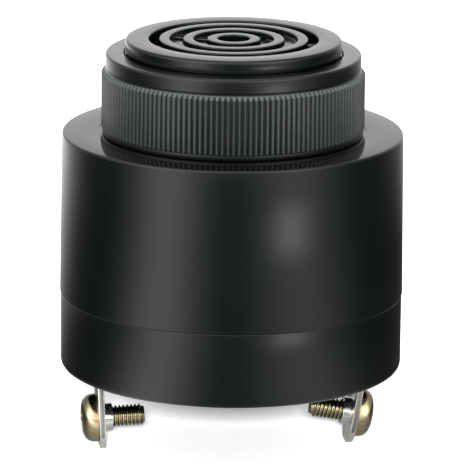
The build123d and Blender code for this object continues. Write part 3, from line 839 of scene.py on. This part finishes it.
class BUZZER_OT_ring_nut(Operator):
    """Ring nut: straight knurl between a plain rim and a smooth collar, and its inner thread"""

    bl_idname = "buzzer.ring_nut"
    bl_label = "Ring nut"

    def execute(self, context):
        s = settings().nut
        b = settings().body
        base = NUT_LOW.z
        top = NUT_HIGH.z
        low = base + s.knurl_start
        high = low + s.knurl_length
        bevel_top = high + s.bevel
        root_r = NUT_R - s.knurl_depth
        foot_r = root_r - 0.05 * MM
        rim_r = NUT_R - s.rim_inset
        collar_r = NUT_R - s.collar_inset
        line = high + s.line_above
        bore_r = b.neck_radius + s.clearance
        liner_r = bore_r + b.thread_depth + 0.2 * MM
        profile = outline([
            (liner_r, base, 0),
            (rim_r, base, s.edge),
            (rim_r, low, 0.05 * MM),
            (foot_r, low + 0.05 * MM, 0),
            (foot_r, low + 0.12 * MM, 0),
            (foot_r, high, 0),
            (foot_r, bevel_top, 0.03 * MM),
            (collar_r, bevel_top + 0.1 * MM, 0.04 * MM),
            (collar_r, line, 0.03 * MM),
            (collar_r - s.line_depth, line + s.line_width / 2, 0.02 * MM),
            (collar_r, line + s.line_width, 0.03 * MM),
            (collar_r, top, s.edge),
            (liner_r, top, 0),
        ], closed=True)
        # The points across one rib: their place as a share of the rib's pitch, and their height
        shares = np.array([0.0, 0.1, 0.3, 0.38, 0.62, 0.7, 0.9])
        heights = np.array([0.0, 0.08, 0.86, 1.0, 1.0, 0.86, 0.08])
        turns = (np.arange(s.ribs)[:, None] + shares[None, :]) / s.ribs
        angles = turns.ravel() * FULL_TURN
        rib = np.tile(heights, s.ribs)[None, :]
        foot_run = 0.12 * MM
        outside = liner_r + 0.5 * MM

        def shape(theta, radius, height):
            """Raise each rib over the root, and slope it away over the bevel's length."""
            on_knurl = (radius > outside) & (radius < root_r)
            on_knurl &= (height > low) & (height < bevel_top)
            lift = (NUT_R - foot_r) * np.clip((bevel_top - height) / s.bevel, 0, 1)
            foot = np.clip((height - low) / foot_run, 0, 1)
            return radius + np.where(on_knurl, rib * lift * foot, 0), height

        shell = surface("ring_nut_shell", lathe(profile, angles, shape), ring=True)
        satin = self.satin(low, bevel_top)
        dress(shell, satin, "ring_nut", "ring_nut", slot="nut_moulding")
        liner = self.liner(base, top, bore_r, liner_r)
        dress(liner, satin, "ring_nut", slot="nut_moulding")
        return {"FINISHED"}

    def satin(self, low, high):
        """The satin moulding, paler with a painted sheen on the knurl's crests and a painted highlight on the
        ribs' sloping ends, and brighter on its level top.
        """
        s = settings().nut
        finish = moulded_plastic("satin_moulding", s.colour, 0.22, 0.28, 2e-6)
        knurl = finish.band(low, high)
        radius = finish.vector("LENGTH", finish.flat())
        crest = finish.spread(radius, 0.1, 1, NUT_R - s.knurl_depth, NUT_R)
        # Painted sheen: the crests are coloured paler than the grooves, for the light they catch.
        marked = finish.blend(finish.times(knurl, crest), finish.base, s.crest_sheen)
        # Painted highlight: the ribs' sloping ends, where they face up, get a far paler colour for the overhead
        # light they mirror.
        ends = finish.times(finish.band(high - s.bevel, high), finish.normal("Z"))
        finish.colour(finish.blend(ends, marked, scaled(s.crest_sheen, 4.5)))
        finish.roughness(finish.calculate("MULTIPLY_ADD", knurl, 0.10, finish.rough))
        shine = finish.spread(finish.level(), 0.28, 1.0, 0, 1)
        finish.link(shine, finish.shader.inputs["Specular IOR Level"])
        return finish.material

    def liner(self, base, top, bore_r, liner_r):
        """The threaded bore, with its crests at the bore's radius and its roots outside it."""
        s = settings().nut
        b = settings().body
        ends = outline([
            (bore_r, top - s.bore_edge, 0),
            (bore_r + s.bore_edge, top, 0.04 * MM),
            (liner_r, top, 0),
            (liner_r, base, 0),
            (bore_r + s.bore_edge, base, 0.04 * MM),
            (bore_r, base + s.bore_edge, 0),
        ])
        low, high = base + s.bore_edge, top - s.bore_edge
        wall = column(bore_r, low, high, LINER_ROWS)[1:-1]

        def shape(theta, radius, height):
            """Cut the thread outward, where the neck's thread has its crests."""
            root = thread_form(theta, height, b.pitch)
            reach = fade(height, low, high, 0.6 * MM)
            on_wall = np.abs(radius - bore_r) < TOUCHING
            return radius + np.where(on_wall, b.thread_depth * root * reach, 0), height

        points = lathe(np.concatenate([ends, wall]), even_angles(LINER_COLUMNS), shape)
        return surface("ring_nut_thread", points, ring=True)


class BUZZER_OT_terminals(Operator):
    """The two terminal tabs with their stamped edges rounded"""

    bl_idname = "buzzer.terminals"
    bl_label = "Terminal tabs"

    def execute(self, context):
        s = settings().terminals
        finish = plated_metal("tin_plate", s.tin, (scaled(s.tin, 0.88), TIN_TINT), 0.24, 700)
        # Partly painted shade: only the edges facing along the camera's line get the dark colour, for the dark
        # body they mirror as well as their bare shear.
        sheared_and_shaded = finish.facing("Y", 0.96, 0.99)
        finish.colour(finish.blend(sheared_and_shaded, finish.base, s.sheared_and_shaded))
        for side in ("left", "right"):
            node = f"terminal_{side}"
            tab = rounded_copy(node, f"tab_{side}", s.tab_edge)
            dress(tab, finish.material, "root", node, slot="tinned_brass")
        return {"FINISHED"}


def rounded_copy(node, name, width):
    """A copy of a flat-faced solid with its edges rounded."""
    mesh = frame["nodes"][node].data.copy()
    mesh.name = name
    work = bmesh.new()
    work.from_mesh(mesh)
    bmesh.ops.remove_doubles(work, verts=work.verts, dist=1e-7)
    bmesh.ops.dissolve_limit(
        work, angle_limit=math.radians(0.5), verts=work.verts, edges=work.edges
    )
    piece = show(name, finished(work, mesh))
    bevel = piece.modifiers.new("edges", "BEVEL")
    bevel.width = width
    bevel.segments = 2
    bevel.limit_method = "ANGLE"
    bevel.angle_limit = BEVEL_ANGLE
    apply_modifiers(piece)
    tidy_normals(piece.data)
    return piece


class BUZZER_OT_terminal_screws(Operator):
    """The two binding-head screws, each with its thread and cross recess"""

    bl_idname = "buzzer.terminal_screws"
    bl_label = "Terminal screws"

    def execute(self, context):
        s = settings().terminals
        finish = plated_metal("yellow_zinc", s.zinc, ZINC_TINTS, 0.20, 900)
        # Painted shade: darker on the faces that turn away from the camera's line, lit zinc on those that face
        # along it.
        sides = finish.facing("Y", 0.25, 0.90)
        finish.colour(finish.blend(sides, s.facing_shade, finish.base))
        for side, name in ((-1, "left"), (1, "right")):
            joint = next(j for j in frame["joints"] if j["child"] == f"screw_{name}")
            outward = np.array(joint["axis"], float)
            outward /= np.linalg.norm(outward)
            lean = math.asin(-outward[2])
            across = np.array([0.0, 1.0, 0.0])
            frame_axes = np.stack([across, np.cross(across, outward), outward])
            drop = s.screw_below - s.bend_below
            half = s.tab_thickness / 2
            seat = np.array([
                side * (s.tab_x - math.tan(lean) * drop + half * math.cos(lean)),
                0.0,
                BASE_Z - s.screw_below - half * math.sin(lean),
            ])
            screw = surface(f"screw_{name}", self.turned() @ frame_axes + seat, poles=True)
            node = f"terminal_screw_{name}"
            dress(screw, finish.material, f"screw_{name}", node, slot="yellow_zinc")
        return {"FINISHED"}

    def turned(self):
        """One screw in its own frame: +Z out through the head, the seat at height 0.

        The head is a superellipse turned round the axis: (radius / head radius) ** power plus
        (height / head height) ** power is 1.
        """
        s = settings().terminals
        r = s.shank_radius
        head_r = s.head_radius
        power = s.head_power
        # Shares of the head's radius: even over the crown, then even in angle down the side
        flat = 0.8
        crown = np.linspace(0, flat, 30)
        side = np.cos(np.linspace(math.acos(flat ** (power / 2)), 0.02, 24)[1:]) ** (2 / power)
        share = np.concatenate([crown, side])
        curve = np.stack([
            head_r * share, s.head_height * (1 - share ** power) ** (1 / power)
        ], axis=1)
        low_edge = curve[-1, 1]
        rim = outline([
            (head_r, low_edge * 0.9, 0),
            (head_r, 0, low_edge * 0.6),
            (r, 0, 0),
        ])
        shank = column(r, -0.06 * MM, s.tip - s.shank_length, SHANK_ROWS)
        tip = outline([
            (r - s.tip, -s.shank_length, 0.08 * MM),
            (0, -s.shank_length, 0),
        ])

        wall_run, end_run, thread_run = 0.12 * MM, 0.5 * MM, 0.2 * MM

        def shape(theta, radius, height):
            """Sink the cross recess into the crown, and cut the thread into the shank."""
            x = radius * np.cos(theta + math.pi / 4)
            y = radius * np.sin(theta + math.pi / 4)
            arm = np.minimum(np.abs(x), np.abs(y))
            reach = np.maximum(np.abs(x), np.abs(y))
            wall = np.clip((s.recess_width - arm) / wall_run, 0, 1)
            end = np.clip((s.recess_reach - reach) / end_run, 0, 1)
            sunk = s.recess_depth * wall * end * (height > s.head_height / 2)
            crest = thread_form(theta, height, s.pitch)
            on_shank = (height < -0.01 * MM) & (radius > r - TOUCHING)
            cut = s.thread_depth * (1 - crest) * np.clip(-height / thread_run, 0, 1)
            return radius - np.where(on_shank, cut, 0), height - sunk

        profile = np.concatenate([curve, rim, shank, tip])
        return lathe(profile, even_angles(SCREW_COLUMNS), shape)


class BUZZER_OT_inner_parts(Operator):
    """Finishes of the pieces inside the housing"""

    bl_idname = "buzzer.inner_parts"
    bl_label = "Inner parts"

    def execute(self, context):
        finishes = {slot: plain_finish(slot, *look) for slot, look in HIDDEN_FINISHES.items()}
        for row in frame["record"]["subparts"]:
            finish = finishes.get(row["material_slot"])
            if finish is not None:
                node = frame["nodes"][row["node"]]
                node.data.materials.clear()
                node.data.materials.append(finish)
        return {"FINISHED"}


class BUZZER_OT_studio(Operator):
    """Camera, softbox, pale floor and white surroundings"""

    bl_idname = "buzzer.studio"
    bl_label = "Studio"

    def execute(self, context):
        scene = context.scene
        scene.view_settings.view_transform = "Standard"
        self.camera(scene)
        self.floor()
        self.world(scene)
        self.lamp()
        return {"FINISHED"}

    def camera(self, scene):
        """Place the camera by direction, distance and roll, aimed at the picture's centre."""
        s = settings().studio
        back = self.sideways(0) * math.cos(s.elevation) + UP * math.sin(s.elevation)
        right = self.sideways(90)
        up = back.cross(right)
        right, up = (
            right * math.cos(s.roll) + up * math.sin(s.roll),
            up * math.cos(s.roll) - right * math.sin(s.roll),
        )
        place = back * s.distance
        target = right * s.aim_right - up * s.aim_down
        back = (place - target).normalized()
        right = (right - back * right.dot(back)).normalized()
        up = back.cross(right)
        lens = bpy.data.cameras.new("camera")
        lens.sensor_width = 36.0
        lens.lens = s.lens
        lens.clip_start, lens.clip_end = 0.01, 50.0
        camera = show("camera", lens)
        turn = Matrix((right, up, back)).transposed().to_4x4()
        camera.matrix_world = Matrix.Translation(place) @ turn
        scene.camera = camera

    def floor(self):
        """A flat disc just under the terminals."""
        under = Matrix.Translation((0, 0, CAD_LOW.z - 0.02 * MM))
        work = bmesh.new()
        bmesh.ops.create_circle(
            work, cap_ends=True, segments=FLOOR_COLUMNS, radius=settings().studio.floor_size,
            matrix=under,
        )
        floor = show("floor", finished(work, bpy.data.meshes.new("floor")))
        floor.data.materials.append(self.floor_material())

    def sideways(self, degrees):
        """Level direction from the object, at an angle to the right of the camera."""
        a = settings().studio.azimuth
        turn = math.radians(degrees)
        back = Vector((math.sin(a), -math.cos(a), 0))
        right = Vector((math.cos(a), math.sin(a), 0))
        return back * math.cos(turn) + right * math.sin(turn)

    def lobe(self, turn, sharpness, brightness, share=1.0, rise=0.0):
        """A soft patch of light: its middle direction, its sharpness and its brightness."""
        middle = self.sideways(turn) * share + UP * rise
        return middle, sharpness, brightness * settings().studio.glow

    def floor_material(self):
        """Matt pale floor, white where it is seen, and lit in patches where it is mirrored."""
        s = settings().studio
        finish = Finish("pale_floor")
        finish.set(Roughness=0.9, Specular_IOR_Level=0.1)
        reach = finish.vector("LENGTH", finish.coordinates)
        clear = finish.spread(reach, 0, 1, s.near_floor * 0.8, s.near_floor * 1.25)
        matt = finish.by_ray(0.0, clear, 0.0)
        finish.colour(finish.blend(matt, s.floor_colour, (0, 0, 0)))
        level = finish.vector("NORMALIZE", finish.flat())
        near = [self.lobe(*glow) for glow in NEAR_GLOWS]
        mirrored = finish.times(finish.glow_field(level, near), clear)
        for *glow, start, end in FAR_GLOWS:
            far = finish.glow_field(level, [self.lobe(*glow)])
            far = finish.times(far, finish.spread(reach, 0, 1, *start))
            if end is not None:
                far = finish.times(far, finish.spread(reach, 1, 0, *end))
            mirrored = finish.calculate("ADD", mirrored, far)
        white = finish.spread(reach, s.shadow_floor, 1.0, *WHITE_FLOOR)
        seen = finish.by_ray(white, mirrored, 0.0)
        finish.set(Emission_Color=(1, 1, 1, 1))
        finish.link(seen, finish.shader.inputs["Emission Strength"])
        paler = finish.node("ShaderNodeBsdfDiffuse")
        finish.link(finish.by_ray(s.seen_floor, 0.0, 0.0), paler.inputs["Color"])
        both = finish.node("ShaderNodeAddShader")
        finish.link(finish.shader.outputs[0], both.inputs[0])
        finish.link(paler.outputs[0], both.inputs[1])
        end = finish.tree.nodes["Material Output"]
        finish.link(both.outputs[0], end.inputs["Surface"])
        return finish.material

    def world(self, scene):
        """White to the eye, even as a source of light, and glowing in patches when mirrored."""
        s = settings().studio
        world = bpy.data.worlds.new("surroundings")
        world.use_nodes = True
        nodes = Nodes(world.node_tree)
        background = nodes.tree.nodes["Background"].inputs
        background["Color"].default_value = (1, 1, 1, 1)
        direction = nodes.node("ShaderNodeTexCoord").outputs["Generated"]
        lobes = [self.lobe(*glow) for glow in ROOM_GLOWS]
        mirrored = nodes.glow_field(direction, lobes, s.dim_glow)
        nodes.link(nodes.by_ray(1.0, mirrored, s.ambient), background["Strength"])
        scene.world = world

    def lamp(self):
        """A rectangular softbox aimed at the middle of the object. It isn't mirrored itself."""
        s = settings().studio
        toward = self.sideways(math.degrees(s.lamp_turn)) * math.cos(s.lamp_rise)
        place = (toward + UP * math.sin(s.lamp_rise)) * s.lamp_distance
        light = bpy.data.lights.new("front_softbox", "AREA")
        light.shape = "RECTANGLE"
        light.size, light.size_y = s.lamp_width, s.lamp_height
        light.energy = s.lamp_power
        lamp = show("front_softbox", light)
        lamp.visible_glossy = False
        lamp.location = place
        middle = (CAD_LOW + CAD_HIGH) / 2
        lamp.rotation_euler = (middle - place).to_track_quat("-Z", "Y").to_euler()


class BuzzerSettings(PropertyGroup):
    """Every group of settings."""

    body: PointerProperty(type=BodySettings)
    grille: PointerProperty(type=GrilleSettings)
    nut: PointerProperty(type=NutSettings)
    terminals: PointerProperty(type=TerminalSettings)
    studio: PointerProperty(type=StudioSettings)


OPERATORS = (
    BUZZER_OT_studio,
    BUZZER_OT_housing,
    BUZZER_OT_grille,
    BUZZER_OT_back_cover,
    BUZZER_OT_ring_nut,
    BUZZER_OT_terminals,
    BUZZER_OT_terminal_screws,
    BUZZER_OT_inner_parts,
)


class BUZZER_PT_sidebar(Panel):
    """Lists the steps that build the buzzer"""

    bl_idname = "BUZZER_PT_sidebar"
    bl_label = "Buzzer"
    bl_space_type = "VIEW_3D"
    bl_region_type = "UI"
    bl_category = "Buzzer"

    def draw(self, context):
        for operator in OPERATORS:
            self.layout.operator(operator.bl_idname, text=operator.bl_label)


CLASSES = (
    BodySettings,
    GrilleSettings,
    NutSettings,
    TerminalSettings,
    StudioSettings,
    BuzzerSettings,
    *OPERATORS,
    BUZZER_PT_sidebar,
)


def register():
    """Register every class and hang the settings on the scene."""
    for cls in CLASSES:
        bpy.utils.register_class(cls)
    bpy.types.Scene.buzzer = PointerProperty(type=BuzzerSettings)


def unregister():
    """Undo register, in the opposite order."""
    del bpy.types.Scene.buzzer
    for cls in reversed(CLASSES):
        bpy.utils.unregister_class(cls)


def main():
    """Register the settings, then build the object piece by piece."""
    register()
    for operator in OPERATORS:
        group, name = operator.bl_idname.split(".")
        getattr(getattr(bpy.ops, group), name)()


if __name__ == "__main__":
    main()
